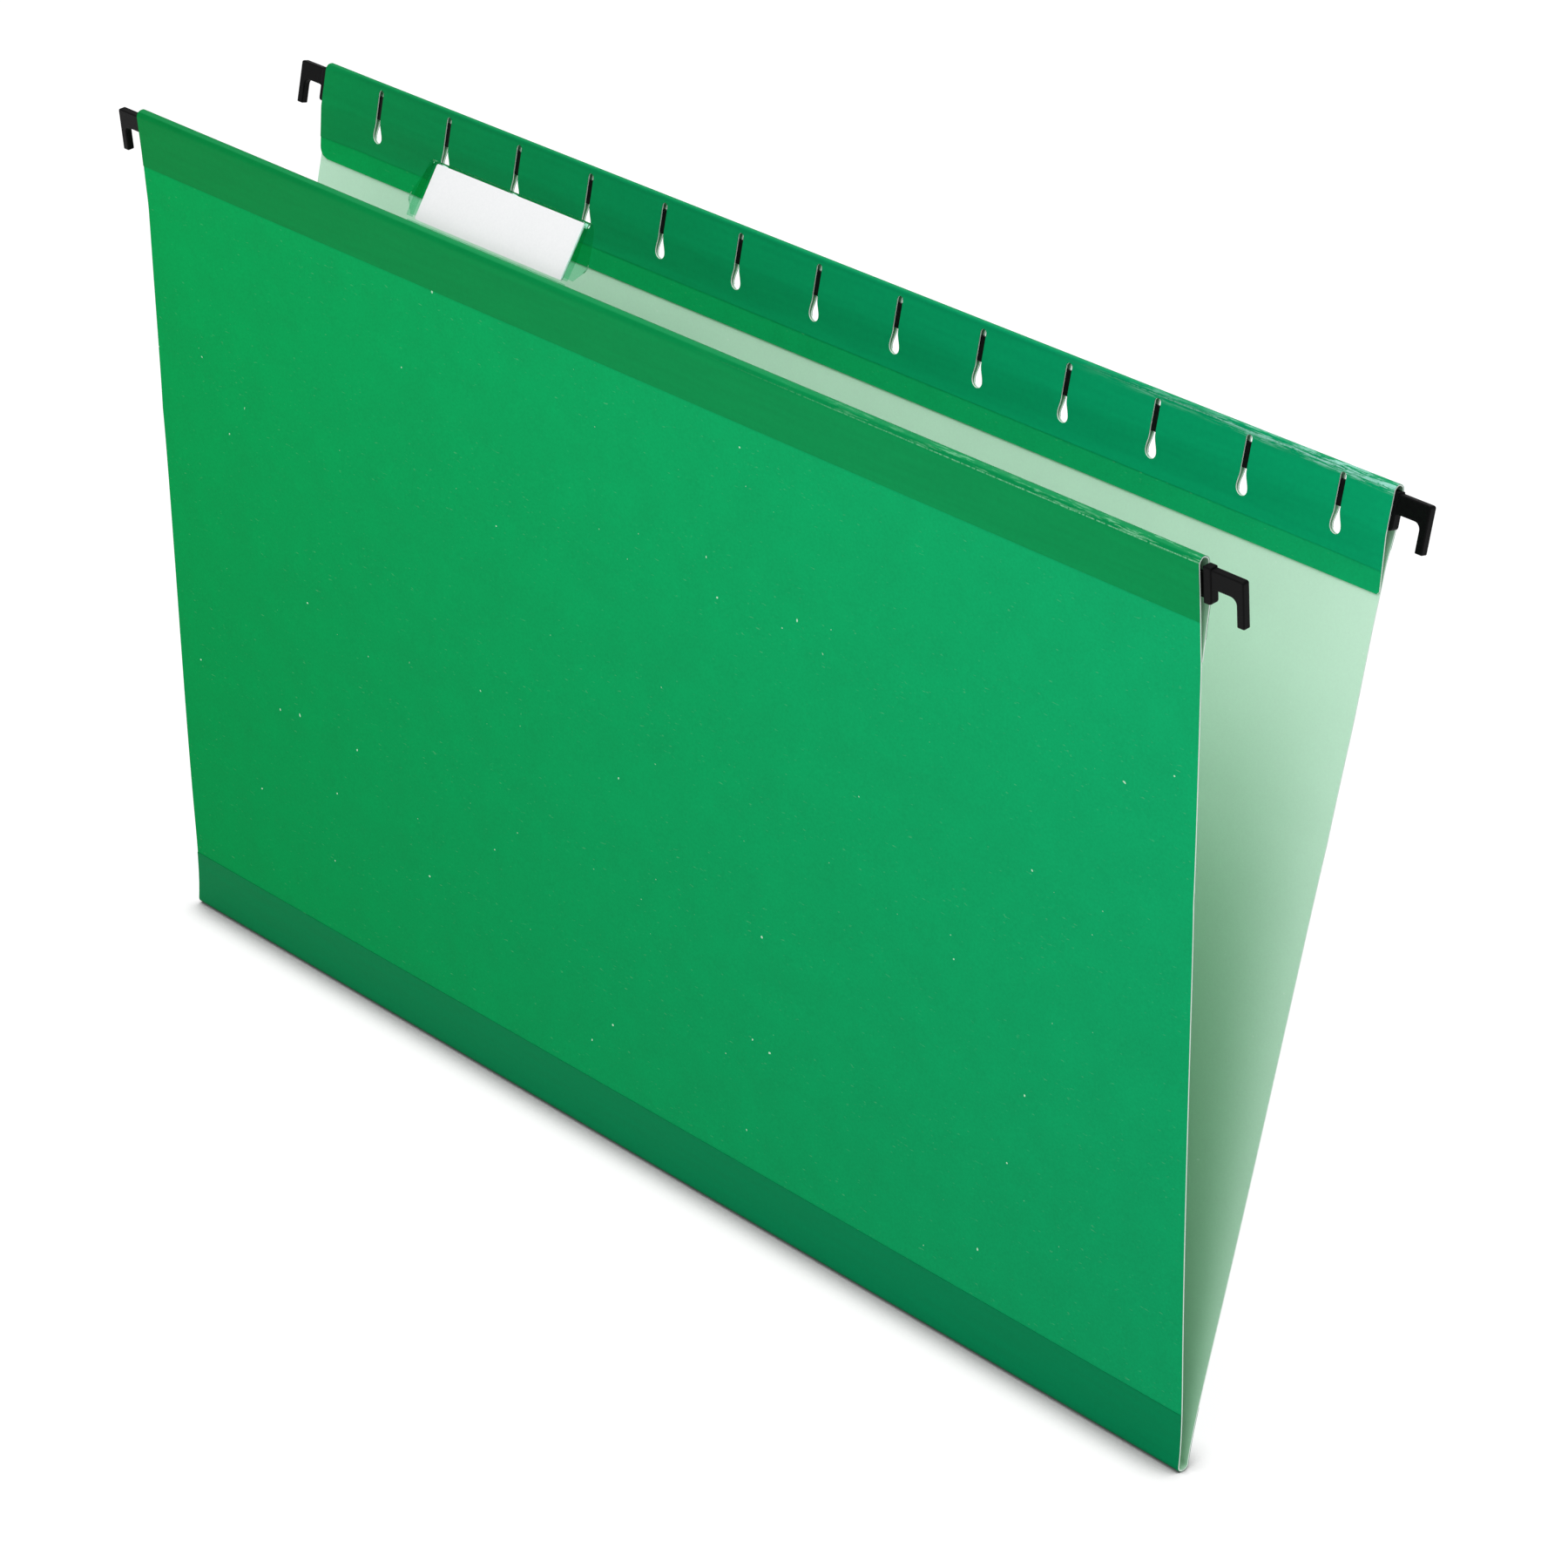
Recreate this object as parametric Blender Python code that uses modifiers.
"""A legal-size hanging file folder: folded stock, two rods with moulded hooks, and a label tab.

+Z is up, +X runs along the folder's top edge, and the front panel faces -Y.
The origin lies midway between the four hooks, level with the seats that rest on the rails.

Each half is modelled upright against its own hinge, then leaned outwards. Inside a half, n is the
distance inwards from the middle of the outer sheet, and t is the height above the sleeve's crease.
"""

import math

import bmesh
import bpy
from mathutils import Matrix, Vector

MM = 0.001

# Driving dimensions, in millimetres and degrees.
WIDTH = 375.0            # along the top edge, 14 3/4 in
FRONT_LEAN = 2.6         # front panel from the vertical, outwards
BACK_LEAN = 12.4         # back panel, so that the four hook seats are level
FRONT_SLEEVE_TURN = 4.0  # the sleeve zone turns about its crease, both towards the front
BACK_SLEEVE_TURN = 2.0
PAPER = 0.3
FILM = 0.1
GAP = 0.3                # between pieces that touch
CUT_MARGIN = 2.0         # cutters reach this far past what they cut
SMOOTH_ANGLE = math.radians(40.0)
FRONT_HEIGHT = 205.2     # bottom hinge to the sleeve's crease
BACK_HEIGHT = 210.0
SLEEVE_HEIGHT = 25.4     # the flap is folded over by one inch

# Bottom fold: half of a flattened tube between the two hinges.
FOLD_HALF_WIDTH = 1.5
FOLD_DEPTH = 1.3
FOLD_STEPS = 12
HINGE_GAP = 0.15         # each side of a hinge's axis

# Sleeve around the rod.
HOOK_THICKNESS = 2.4
SLEEVE_SPACE = HOOK_THICKNESS + 2 * GAP
SLEEVE_RADIUS = (SLEEVE_SPACE + PAPER) / 2
SLEEVE_STEPS = 10
FLAP_BEND = 12.0         # below the top edge, the flap starts to close on the panel
FLAP_FLAT = 22.0         # below the top edge, it is closed and glued
FLAP_GLUED_AT = 1.2      # its distance from the panel there
FLAP_LENGTH = 25.2
GLUE_WIDTH = 2.4         # a bead along the flap's lower edge
GLUE_EDGE = 0.5          # from the flap's lower edge
GLUE_END = 6.0           # from the sheet's sides
GLUE_ROUNDING = 1.0

# Reinforcement film.
FILM_OFFSET = PAPER / 2 + GAP + FILM / 2
FRONT_BAND = 15.0        # down the outer face
FLAP_BAND = 19.7         # down the flap
BOTTOM_BAND = 14.0       # up each panel
BOTTOM_BAND_START = 0.5
FOLD_FILM_TRIM = math.radians(15.0)

# Slots for label tabs.
SLOT_COUNT = 13
SLOT_PITCH = 28.1
FIRST_SLOT = -164.7
SLOT_TOP = 2.0           # below the top edge
SLOT_BOTTOM = 16.4
SLIT_HALF_WIDTH = 0.75
BULB_RADIUS = 1.7
BULB_NECK = 10.5         # below the top edge, the slit starts to widen

# Rods and hooks.
ROD_HALF_LENGTH = 198.1  # centre to the hook's outer face
FRONT_ROD_SHIFT = 1.4    # the rods float in their sleeves
BACK_ROD_SHIFT = -0.5
ROD_TOP = 3.5            # below the top edge
ROD_BOTTOM = 9.5
ROD_THICKNESS = 0.8
TONGUE_TOP = 3.8
TONGUE_BOTTOM = 5.3
SOCKET_GAP = 0.15
TONGUE_SOCKET_TRIM = 0.05
TONGUE_OVERLAP = 0.5     # the tongue's pocket starts inside the strip's
HOOK_LENGTH = 11.4
HOOK_TOP = 1.4           # below the top edge
HOOK_ROOF = 6.3          # the seat on the rail
HOOK_TOE = 13.0          # bottom of the outer leg
LEG_WIDTH = 2.1
COLLAR_WIDTH = 2.3
COLLAR_BOTTOM = 10.3
COLLAR_RISE = 0.6        # the plate ends this far above the collar's bottom
COLLAR_LAP = 0.35        # the plate runs this far inside the collar's faces
PLATE_THICKNESS = 2.0
HOOK_BEVEL = 0.3
COLLAR_BEVEL = 0.5
BEVEL_SEGMENTS = 2
OUTER_CORNER = 0.6
SMALL_CORNER = 0.3
COLLAR_FOOT_CORNER = 0.8
NOTCH_LEG_RADIUS = 1.6
NOTCH_COLLAR_RADIUS = 1.2
SLIVER = 0.03

# Label tab.
TAB_CENTRE = -52.3       # over a slot
TAB_LEAN = 37.0          # inwards from the sleeve
TAB_SHEET = 0.3
TAB_HINGE_DROP = 0.8     # below the top edge
TAB_HEIGHT = 16.6
TAB_SPACE = 1.1          # inside, for the insert
TAB_TOP_HALF = 30.2
TAB_WIDE_HALF = 33.7
TAB_WIDE_AT = 5.0
TAB_FOOT_HALF = 30.5
TAB_START = 0.6
TAB_INNER_START = 1.2
TAB_CORNER_CUT = 1.0
CLIP_HALF_WIDTH = 29.6
CLIP_SIDE_HEIGHT = 5.0
CLIP_LEG_STEP = 0.5
CLIP_CORNER = 1.0
LEG_CORNER = 0.5
CLIP_DROP = 14.7         # the prongs go through the slots' bulbs
PRONG_WIDTH = 2.4
PRONG_THICKNESS = 0.6
LIP_THICKNESS = 0.4
LIP_DROP = 17.4
INSERT_WIDTH = 55.5
INSERT_THICKNESS = 0.25
INSERT_START = 1.0
INSERT_END = 15.6

SLEEVE_TOP = SLEEVE_HEIGHT
ARC_CENTRE = SLEEVE_TOP - SLEEVE_RADIUS - PAPER / 2
ROD_DEPTH = SLEEVE_RADIUS
ROD_SHOULDER = ROD_HALF_LENGTH - HOOK_LENGTH + COLLAR_WIDTH - 0.4
ROD_TIP = ROD_HALF_LENGTH - LEG_WIDTH
HALF_WIDTH = WIDTH / 2
HINGE_OUT = FOLD_HALF_WIDTH + PAPER / 2


def clear_scene():
    for old in list(bpy.data.objects):
        bpy.data.objects.remove(old, do_unlink=True)


def new_collection(name):
    collection = bpy.data.collections.new(name)
    bpy.context.scene.collection.children.link(collection)
    return collection


def new_material(name, colour, roughness, metallic=0.0, alpha=1.0):
    material = bpy.data.materials.new(name)
    material.use_nodes = True
    shader = material.node_tree.nodes["Principled BSDF"]
    shader.inputs["Base Color"].default_value = (*colour, 1.0)
    shader.inputs["Roughness"].default_value = roughness
    shader.inputs["Metallic"].default_value = metallic
    shader.inputs["Alpha"].default_value = alpha
    return material


def add_object(name, mesh, material, parent):
    item = bpy.data.objects.new(name, mesh)
    item.parent = parent
    mesh.materials.append(material)
    PARTS.objects.link(item)
    return item


def add_cutter(name, mesh, parent):
    item = bpy.data.objects.new(name, mesh)
    item.parent = parent
    item.hide_render = True
    item.display_type = "WIRE"
    CUTTERS.objects.link(item)
    return item


def add_empty(name, parent, location, turn=0.0):
    empty = bpy.data.objects.new(name, None)
    empty.parent = parent
    empty.location = [value * MM for value in location]
    empty.rotation_euler = (math.radians(turn), 0.0, 0.0)
    PARTS.objects.link(empty)
    return empty


def boolean(item, cutter, operation="DIFFERENCE"):
    step = item.modifiers.new(cutter.name, "BOOLEAN")
    step.operation = operation
    step.object = cutter


def sheet(name, profile, half_width, thickness, material, parent):
    """A strip whose cross-section follows a profile of (y, z) points, thickened evenly."""
    strip = bmesh.new()
    rows = []
    for y, z in profile:
        rows.append([strip.verts.new((x * MM, y * MM, z * MM)) for x in (-half_width, half_width)])
    for low, high in zip(rows, rows[1:]):
        strip.faces.new((low[0], low[1], high[1], high[0]))
    mesh = bpy.data.meshes.new(name)
    strip.to_mesh(mesh)
    strip.free()
    item = add_object(name, mesh, material, parent)
    shell = item.modifiers.new("thickness", "SOLIDIFY")
    shell.thickness = thickness * MM
    shell.offset = 0.0
    shell.use_even_offset = True
    mesh.shade_smooth()
    mesh.set_sharp_from_angle(angle=SMOOTH_ANGLE)
    return item


def outline_mesh(name, points, depth, y=0.0):
    """A flat outline of (x, z) points given depth along Y, centred on y, as one closed mesh."""
    curve = bpy.data.curves.new(name, "CURVE")
    curve.dimensions = "2D"
    curve.fill_mode = "BOTH"
    curve.extrude = depth * MM / 2
    spline = curve.splines.new("POLY")
    spline.points.add(len(points) - 1)
    for knot, (x, z) in zip(spline.points, points):
        knot.co = (x * MM, z * MM, 0.0, 1.0)
    spline.use_cyclic_u = True
    guide = bpy.data.objects.new(name + "_outline", curve)
    bpy.context.scene.collection.objects.link(guide)
    bpy.context.view_layer.update()
    drawn = guide.evaluated_get(bpy.context.evaluated_depsgraph_get())
    mesh = bpy.data.meshes.new_from_object(drawn)
    bpy.data.objects.remove(guide)
    bpy.data.curves.remove(curve)
    solid = bmesh.new()
    solid.from_mesh(mesh)
    bmesh.ops.remove_doubles(solid, verts=solid.verts, dist=1e-7)
    bmesh.ops.dissolve_limit(solid, angle_limit=math.radians(0.5), verts=solid.verts,
                             edges=solid.edges)
    bmesh.ops.recalc_face_normals(solid, faces=solid.faces)
    solid.to_mesh(mesh)
    solid.free()
    mesh.transform(Matrix.Translation((0.0, y * MM, 0.0)) @ Matrix.Rotation(math.pi / 2, 4, "X"))
    return mesh


def box_mesh(name, low, high):
    """A box between two corners, in millimetres."""
    box = bmesh.new()
    bmesh.ops.create_cube(box, size=1.0)
    size = [(b - a) * MM for a, b in zip(low, high)]
    middle = [(a + b) / 2 * MM for a, b in zip(low, high)]
    bmesh.ops.transform(box, matrix=Matrix.Translation(middle) @ Matrix.Diagonal((*size, 1.0)),
                        verts=box.verts)
    mesh = bpy.data.meshes.new(name)
    box.to_mesh(mesh)
    box.free()
    return mesh


def join_meshes(name, meshes):
    """Several meshes as one, each staying a closed body of its own."""
    joined = bmesh.new()
    for mesh in meshes:
        joined.from_mesh(mesh)
        bpy.data.meshes.remove(mesh)
    result = bpy.data.meshes.new(name)
    joined.to_mesh(result)
    joined.free()
    return result


def arc(centre, radius, start, end, steps):
    """Points on an arc, angles in degrees, with both ends."""
    points = []
    for step in range(steps + 1):
        angle = math.radians(start + (end - start) * step / steps)
        points.append((centre[0] + radius * math.cos(angle), centre[1] + radius * math.sin(angle)))
    return points


def rounded(corners, steps=5):
    """An outline of (x, z, radius) corners with each corner rounded."""
    points = []
    count = len(corners)
    for index, (x, z, radius) in enumerate(corners):
        if radius == 0.0:
            points.append((x, z))
            continue
        before = corners[index - 1]
        after = corners[(index + 1) % count]
        to_before = math.atan2(before[1] - z, before[0] - x)
        to_after = math.atan2(after[1] - z, after[0] - x)
        opening = (to_after - to_before + math.pi) % (2 * math.pi) - math.pi
        middle = to_before + opening / 2
        reach = radius / math.sin(abs(opening) / 2)
        centre = (x + reach * math.cos(middle), z + reach * math.sin(middle))
        sweep = math.copysign(math.pi - abs(opening), opening)
        first = middle + math.pi + sweep / 2
        for step in range(steps + 1):
            angle = first - sweep * step / steps
            points.append((centre[0] + radius * math.cos(angle),
                           centre[1] + radius * math.sin(angle)))
    return points


def slot_outline(x):
    """A narrow slit that opens into a round bulb at the bottom."""
    top = SLEEVE_TOP - SLOT_TOP - SLIT_HALF_WIDTH
    neck = SLEEVE_TOP - BULB_NECK
    bulb = SLEEVE_TOP - SLOT_BOTTOM + BULB_RADIUS
    points = arc((x, top), SLIT_HALF_WIDTH, 0.0, 180.0, 6)
    points.append((x - SLIT_HALF_WIDTH, neck))
    points += arc((x, bulb), BULB_RADIUS, 170.0, 370.0, 12)
    points.append((x + SLIT_HALF_WIDTH, neck))
    return points


def flap_profile(offset, end):
    """The flap's line from the outer sheet over the top and down, moved outwards by offset."""
    radius = SLEEVE_RADIUS + offset
    over = arc((SLEEVE_RADIUS, ARC_CENTRE), radius, 180.0, 0.0, SLEEVE_STEPS)
    inner = 2 * SLEEVE_RADIUS + offset
    closing = (2 * SLEEVE_RADIUS - FLAP_GLUED_AT) / (FLAP_FLAT - FLAP_BEND)
    points = over + [(inner, SLEEVE_TOP - FLAP_BEND)]
    low = min(end, FLAP_FLAT)
    points.append((inner - closing * (low - FLAP_BEND), SLEEVE_TOP - low))
    if end > FLAP_FLAT:
        points.append((FLAP_GLUED_AT + offset, SLEEVE_TOP - end))
    return points


def mirrored(profile, side, shift=0.0):
    """(n, t) points as local (y, z): inwards is +Y on the front half and -Y on the back half."""
    return [(side * (n + shift), t) for n, t in profile]


def build_panel(half, side, height, turn, hinge):
    """The outer sheet: flat up to the sleeve's crease, then turned with the sleeve zone."""
    lean = math.radians(side * turn)
    length = ARC_CENTRE - GAP
    top = (-math.sin(lean) * length, height + math.cos(lean) * length)
    profile = [(0.0, HINGE_GAP), (0.0, height), top]
    return sheet(half + "_panel", mirrored(profile, side, PAPER / 2), HALF_WIDTH, PAPER, STOCK,
                 hinge)


def build_slot_cutter(half, side, sleeve, inner, outer):
    """All thirteen slots as one cutter, between two distances from the outer sheet."""
    depth = outer - inner
    middle = side * (inner + outer) / 2
    slots = [outline_mesh("slot", slot_outline(FIRST_SLOT + index * SLOT_PITCH), depth, middle)
             for index in range(SLOT_COUNT)]
    return add_cutter(half + "_slots", join_meshes(half + "_slots", slots), sleeve)


def build_sheets(half, side, height, turn, hinge, sleeve, slots_reach_outside):
    """Panel, flap, films and glue line of one half."""
    panel = build_panel(half, side, height, turn, hinge)
    flap = sheet(half + "_flap", mirrored(flap_profile(0.0, FLAP_LENGTH), side), HALF_WIDTH,
                 PAPER, STOCK, sleeve)
    wrap = [(-FILM_OFFSET, SLEEVE_TOP - FRONT_BAND)] + flap_profile(FILM_OFFSET, FLAP_BAND)
    film = sheet(half + "_top_film", mirrored(wrap, side), HALF_WIDTH, FILM, TOP_FILM, sleeve)
    band = [(-FILM_OFFSET, BOTTOM_BAND_START), (-FILM_OFFSET, BOTTOM_BAND)]
    sheet(half + "_bottom_film", mirrored(band, side, PAPER / 2), HALF_WIDTH, FILM, BOTTOM_FILM,
          hinge)
    inner = -CUT_MARGIN if slots_reach_outside else SLEEVE_RADIUS
    slots = build_slot_cutter(half, side, sleeve, inner, 2 * SLEEVE_RADIUS + CUT_MARGIN)
    boolean(flap, slots)
    boolean(film, slots)
    if slots_reach_outside:
        boolean(panel, slots)
    glue_depth = PAPER / 2 + GAP + GAP / 2
    glue_end = HALF_WIDTH - GLUE_END
    glue_low = SLEEVE_TOP - FLAP_LENGTH + GLUE_EDGE
    glue_high = glue_low + GLUE_WIDTH
    corners = ((-glue_end, glue_low), (glue_end, glue_low), (glue_end, glue_high),
               (-glue_end, glue_high))
    bead = rounded([(*corner, GLUE_ROUNDING) for corner in corners])
    glue = outline_mesh(half + "_glue_line", bead, GAP, side * glue_depth)
    add_object(half + "_glue_line", glue, GLUE, sleeve)


def build_bottom_fold(root):
    """The strip between the two hinges, with its film underneath."""
    start = -HINGE_GAP
    paper = []
    film = []
    for step in range(FOLD_STEPS + 1):
        angle = math.pi * step / FOLD_STEPS
        paper.append((-FOLD_HALF_WIDTH * math.cos(angle), start - FOLD_DEPTH * math.sin(angle)))
        angle = FOLD_FILM_TRIM + (math.pi - 2 * FOLD_FILM_TRIM) * step / FOLD_STEPS
        film.append((-(FOLD_HALF_WIDTH + FILM_OFFSET) * math.cos(angle),
                     start - (FOLD_DEPTH + FILM_OFFSET) * math.sin(angle)))
    sheet("bottom_fold", paper, HALF_WIDTH, PAPER, STOCK, root)
    sheet("bottom_fold_film", film, HALF_WIDTH, FILM, BOTTOM_FILM, root)


def rod_outline():
    """The flat strip, with a narrower tongue at each end that goes into the hook's beam."""
    low = SLEEVE_TOP - ROD_BOTTOM
    high = SLEEVE_TOP - ROD_TOP
    tongue_low = SLEEVE_TOP - TONGUE_BOTTOM
    tongue_high = SLEEVE_TOP - TONGUE_TOP
    right = [(ROD_SHOULDER, low), (ROD_SHOULDER, tongue_low), (ROD_TIP, tongue_low),
             (ROD_TIP, tongue_high), (ROD_SHOULDER, tongue_high), (ROD_SHOULDER, high)]
    return right + [(-x, z) for x, z in reversed(right)]


def build_sockets(hook, hand, side, rod_frame):
    """Pockets in the hook for the rod's full height and for its tongue."""
    mouth = ROD_HALF_LENGTH - HOOK_LENGTH - CUT_MARGIN
    wide = ROD_THICKNESS / 2 + SOCKET_GAP
    narrow = wide - TONGUE_SOCKET_TRIM
    step = ROD_SHOULDER - TONGUE_OVERLAP
    pockets = (("strip", mouth, ROD_SHOULDER, ROD_BOTTOM, ROD_TOP, wide),
               ("tongue", step, ROD_TIP, TONGUE_BOTTOM, TONGUE_TOP, narrow))
    for label, start, end, bottom, top, reach in pockets:
        corners = [sorted(pair) for pair in (
            (hand * start, hand * (end + SOCKET_GAP)),
            (side * ROD_DEPTH - reach, side * ROD_DEPTH + reach),
            (SLEEVE_TOP - bottom - SOCKET_GAP, SLEEVE_TOP - top + SOCKET_GAP))]
        low, high = zip(*corners)
        name = f"{hook.name}_{label}_pocket"
        boolean(hook, add_cutter(name, box_mesh(name, low, high), rod_frame))


def hook_outline():
    """Beam, outer leg and the notch that drops over a rail, for the right-hand hook."""
    outer = ROD_HALF_LENGTH
    inner = outer - HOOK_LENGTH + COLLAR_WIDTH / 2
    notch = outer - HOOK_LENGTH + COLLAR_WIDTH - COLLAR_LAP
    top = SLEEVE_TOP - HOOK_TOP - COLLAR_LAP
    roof = SLEEVE_TOP - HOOK_ROOF
    toe = SLEEVE_TOP - HOOK_TOE
    low = SLEEVE_TOP - COLLAR_BOTTOM + COLLAR_RISE
    leg = outer - LEG_WIDTH
    return rounded([
        (inner, top, 0.0), (outer, top, OUTER_CORNER), (outer, toe, SMALL_CORNER),
        (leg, toe, SMALL_CORNER), (leg, roof, NOTCH_LEG_RADIUS),
        (notch, roof, NOTCH_COLLAR_RADIUS), (notch, low, 0.0), (inner, low, 0.0)])


def bevel(item, width):
    edges = item.modifiers.new("rounded edges", "BEVEL")
    edges.width = width * MM
    edges.segments = BEVEL_SEGMENTS
    edges.limit_method = "ANGLE"
    edges.angle_limit = math.radians(50.0)


def build_hook(name, hand, side, rod_frame):
    """One moulded hook; hand is +1 at the right-hand end of its rod and -1 at the left."""
    depth = side * ROD_DEPTH
    outline = [(hand * x, z) for x, z in hook_outline()]
    plate = add_object(name, outline_mesh(name, outline, PLATE_THICKNESS, depth), NYLON,
                       rod_frame)
    bevel(plate, HOOK_BEVEL)
    inner = ROD_HALF_LENGTH - HOOK_LENGTH
    outer = inner + COLLAR_WIDTH
    top = SLEEVE_TOP - HOOK_TOP
    low = SLEEVE_TOP - COLLAR_BOTTOM
    collar_outline = rounded([
        (hand * inner, top, SMALL_CORNER), (hand * outer, top, SMALL_CORNER),
        (hand * outer, low, COLLAR_FOOT_CORNER), (hand * inner, low, SMALL_CORNER)])
    collar = add_cutter(name + "_collar",
                        outline_mesh(name + "_collar", collar_outline, HOOK_THICKNESS, depth),
                        rod_frame)
    bevel(collar, COLLAR_BEVEL)
    boolean(plate, collar, "UNION")
    build_sockets(plate, hand, side, rod_frame)
    weld = plate.modifiers.new("close slivers", "WELD")
    weld.merge_threshold = SLIVER * MM
    plate.data.shade_smooth()
    plate.data.set_sharp_from_angle(angle=SMOOTH_ANGLE)


def build_rod(half, side, sleeve, shift):
    """The rod and its two hooks, which slide along the sleeve together."""
    rod_frame = add_empty(half + "_rod_frame", sleeve, (shift, 0.0, 0.0))
    mesh = outline_mesh(half + "_rod", rod_outline(), ROD_THICKNESS, side * ROD_DEPTH)
    add_object(half + "_rod", mesh, STEEL, rod_frame)
    build_hook(half + "_right_hook", 1, side, rod_frame)
    build_hook(half + "_left_hook", -1, side, rod_frame)
    return rod_frame


def flap_depth(drop):
    """Distance of the flap's middle from the outer sheet, at a drop below the top edge."""
    if drop <= FLAP_BEND:
        return 2 * SLEEVE_RADIUS
    share = min((drop - FLAP_BEND) / (FLAP_FLAT - FLAP_BEND), 1.0)
    return 2 * SLEEVE_RADIUS + (FLAP_GLUED_AT - 2 * SLEEVE_RADIUS) * share


def build_tab_clip(sleeve, hinge_depth):
    """The tab's foot: a strip on the flap with two prongs that go through two slots."""
    top = SLEEVE_TOP - TAB_HINGE_DROP - TAB_SHEET
    drop = SLEEVE_TOP - CLIP_DROP
    centres = (TAB_CENTRE - SLOT_PITCH, TAB_CENTRE + SLOT_PITCH)
    leg = PRONG_WIDTH / 2
    left = TAB_CENTRE - CLIP_HALF_WIDTH
    right = TAB_CENTRE + CLIP_HALF_WIDTH
    side_low = top - CLIP_SIDE_HEIGHT
    low = side_low - CLIP_LEG_STEP
    toe = drop - PRONG_THICKNESS / 2
    corners = [(left, top, 0.0), (left, side_low, CLIP_CORNER)]
    for centre in centres:
        corners += [(centre - leg, low, LEG_CORNER), (centre - leg, toe, 0.0),
                    (centre + leg, toe, 0.0), (centre + leg, low, LEG_CORNER)]
    corners += [(right, side_low, CLIP_CORNER), (right, top, 0.0)]
    foot = outline_mesh("tab_clip", rounded(corners, 3), TAB_SHEET, hinge_depth)
    clip = add_object("tab_clip", foot, TINTED, sleeve)
    lip_outer = flap_depth(LIP_DROP) - PAPER / 2 - GAP
    lip_inner = lip_outer - LIP_THICKNESS
    for index, centre in enumerate(centres):
        reach = box_mesh("prong", (centre - leg, lip_inner, toe),
                         (centre + leg, hinge_depth, toe + PRONG_THICKNESS))
        lip = box_mesh("lip", (centre - leg, lip_inner, SLEEVE_TOP - LIP_DROP),
                       (centre + leg, lip_outer, drop))
        for part, mesh in (("prong", reach), ("lip", lip)):
            boolean(clip, add_cutter(f"{part}_{index}", mesh, sleeve), "UNION")


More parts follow.
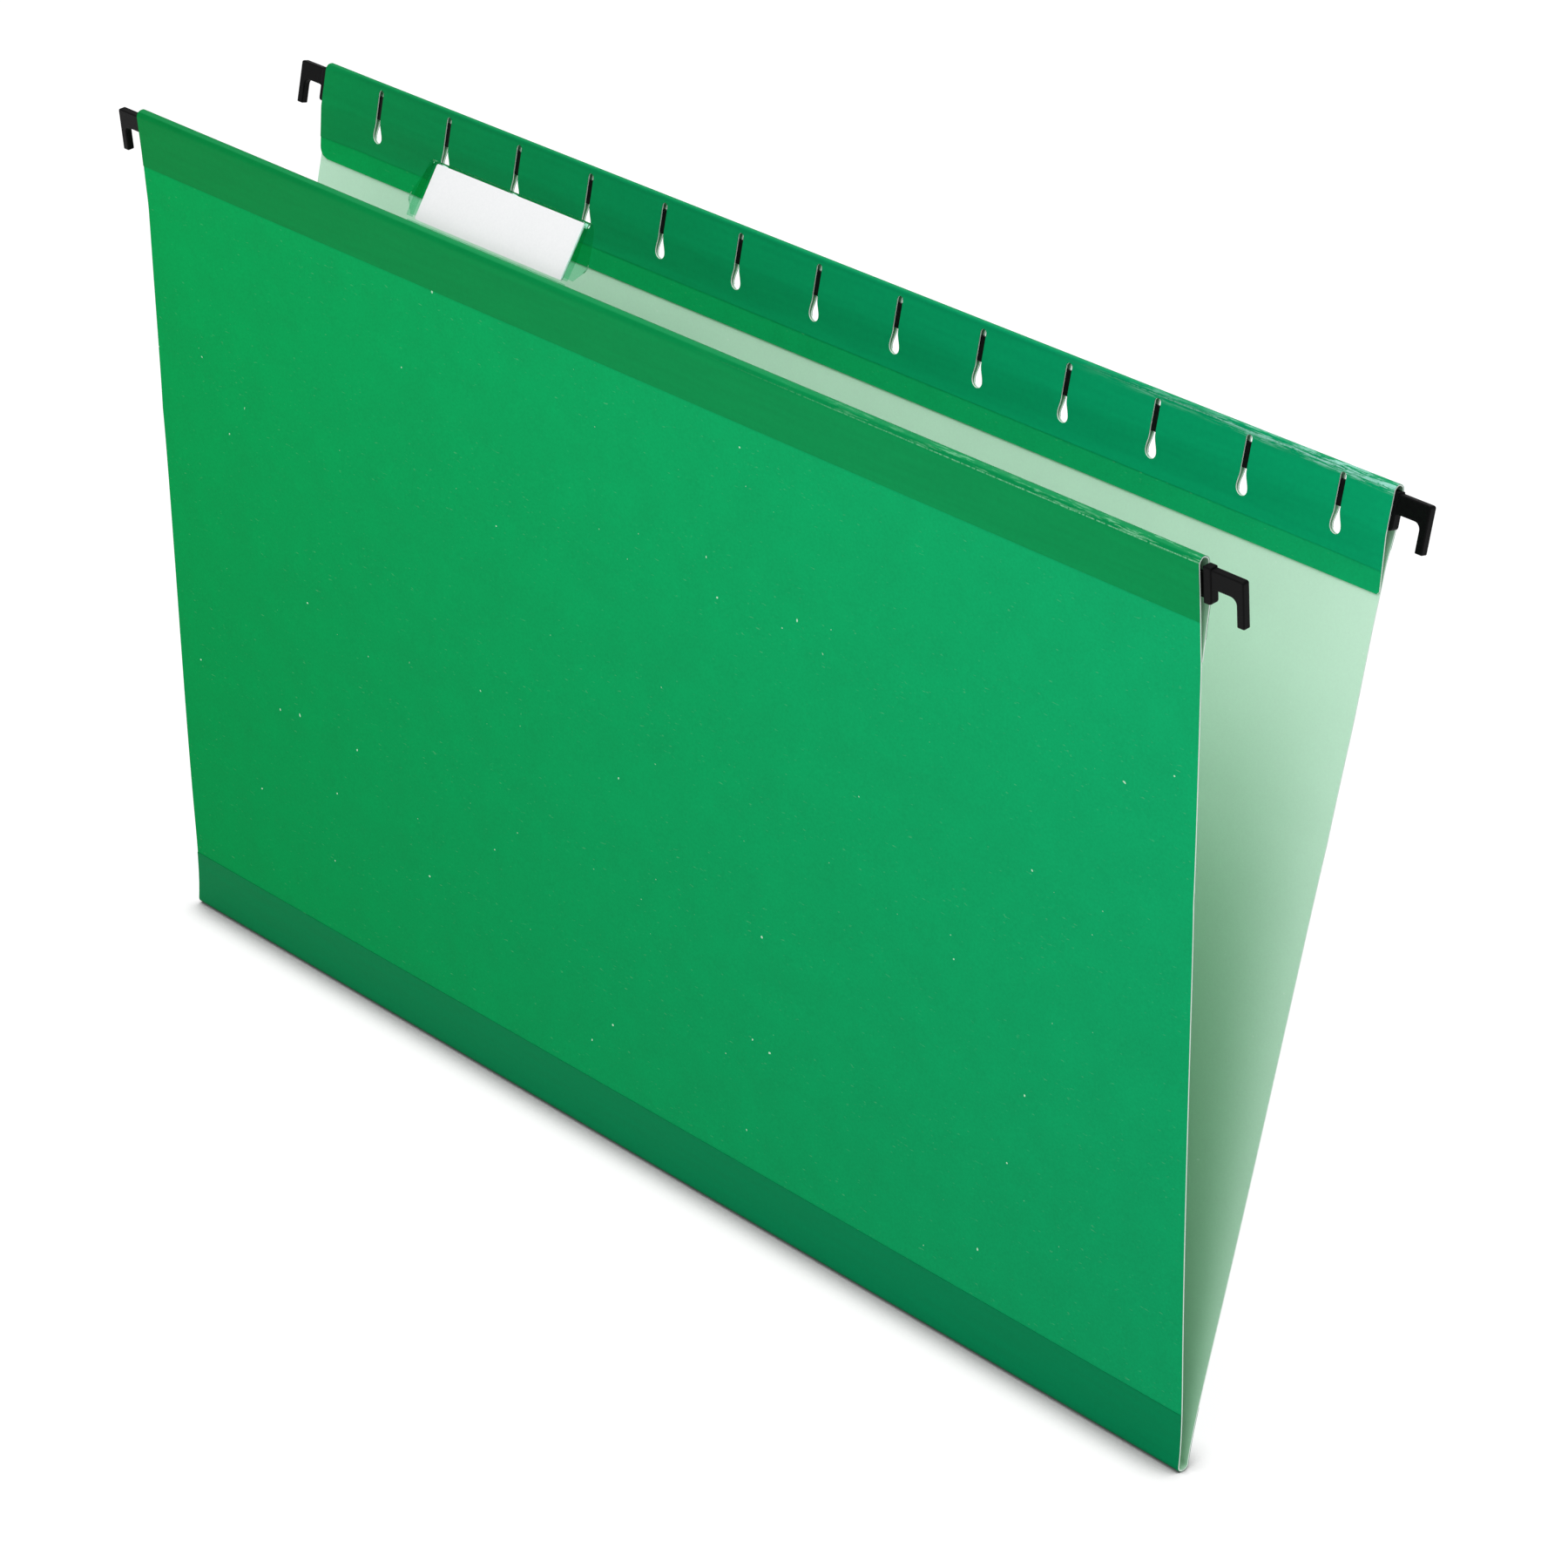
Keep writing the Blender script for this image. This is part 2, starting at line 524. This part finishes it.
def build_tab(sleeve):
    """The tinted window, hinged on its clip, with the card inside."""
    hinge_depth = 2 * SLEEVE_RADIUS + FILM_OFFSET + FILM / 2 + GAP + TAB_SHEET / 2
    build_tab_clip(sleeve, hinge_depth)
    hinge_height = SLEEVE_TOP - TAB_HINGE_DROP
    tab_hinge = add_empty("tab_hinge", sleeve, (TAB_CENTRE, hinge_depth, hinge_height), -TAB_LEAN)
    radius = (TAB_SPACE + TAB_SHEET) / 2
    fold = TAB_HEIGHT - radius
    profile = [(0.0, TAB_START)] + arc((radius, fold), radius, 180.0, 0.0, 8)
    profile.append((2 * radius, TAB_INNER_START))
    tab = sheet("label_tab", profile, TAB_WIDE_HALF + CUT_MARGIN, TAB_SHEET, TINTED, tab_hinge)
    outline = [(-TAB_FOOT_HALF, -CUT_MARGIN), (-TAB_FOOT_HALF, TAB_START),
               (-TAB_WIDE_HALF, TAB_WIDE_AT), (-TAB_TOP_HALF, TAB_HEIGHT - TAB_CORNER_CUT),
               (-TAB_TOP_HALF + TAB_CORNER_CUT, TAB_HEIGHT + TAB_CORNER_CUT)]
    outline += [(-x, z) for x, z in reversed(outline)]
    depth = 2 * (2 * radius + CUT_MARGIN)
    shape = add_cutter("tab_shape", outline_mesh("tab_shape", outline, depth), tab_hinge)
    boolean(tab, shape, "INTERSECT")
    half_card = INSERT_WIDTH / 2
    card = outline_mesh("label_insert", [(-half_card, INSERT_START), (half_card, INSERT_START),
                                         (half_card, INSERT_END), (-half_card, INSERT_END)],
                        INSERT_THICKNESS, radius)
    add_object("label_insert", card, CARD, tab_hinge)


def centre_on_seats(root, rod_frames):
    """Moves the folder so that the middle of the four hook seats lies at the origin."""
    bpy.context.view_layer.update()
    seats = [frame.matrix_world @ Vector((0.0, side * ROD_DEPTH * MM, (SLEEVE_TOP - HOOK_ROOF) * MM))
             for frame, side in rod_frames]
    middle = sum(seats, Vector()) / len(seats)
    root.location = (0.0, -middle.y, -middle.z)


def build_folder():
    root = add_empty("folder", None, (0.0, 0.0, 0.0))
    build_bottom_fold(root)
    halves = (("front", 1, FRONT_HEIGHT, FRONT_LEAN, FRONT_SLEEVE_TURN, FRONT_ROD_SHIFT, False),
              ("back", -1, BACK_HEIGHT, BACK_LEAN, BACK_SLEEVE_TURN, BACK_ROD_SHIFT, True))
    rod_frames = []
    for half, side, height, lean, turn, shift, slots_reach_outside in halves:
        hinge = add_empty(half + "_hinge", root, (0.0, -side * HINGE_OUT, 0.0), side * lean)
        sleeve = add_empty(half + "_sleeve", hinge, (0.0, side * PAPER / 2, height), turn)
        build_sheets(half, side, height, turn, hinge, sleeve, slots_reach_outside)
        rod_frames.append((build_rod(half, side, sleeve, shift), side))
        if half == "front":
            build_tab(sleeve)
    centre_on_seats(root, rod_frames)


clear_scene()
PARTS = new_collection("hanging_file_folder")
CUTTERS = new_collection("cutters")
STOCK = new_material("green_stock", (0.008, 0.33, 0.11), 0.75)
TOP_FILM = new_material("top_film", (0.004, 0.24, 0.07), 0.45)
BOTTOM_FILM = new_material("bottom_film", (0.004, 0.19, 0.06), 0.5)
GLUE = new_material("glue", (0.75, 0.72, 0.6), 0.4)
STEEL = new_material("black_steel", (0.015, 0.015, 0.016), 0.4, 1.0)
NYLON = new_material("black_nylon", (0.012, 0.012, 0.013), 0.45)
TINTED = new_material("tinted_plastic", (0.05, 0.45, 0.2), 0.1, 0.0, 0.45)
CARD = new_material("white_card", (0.88, 0.88, 0.9), 0.8)
build_folder()
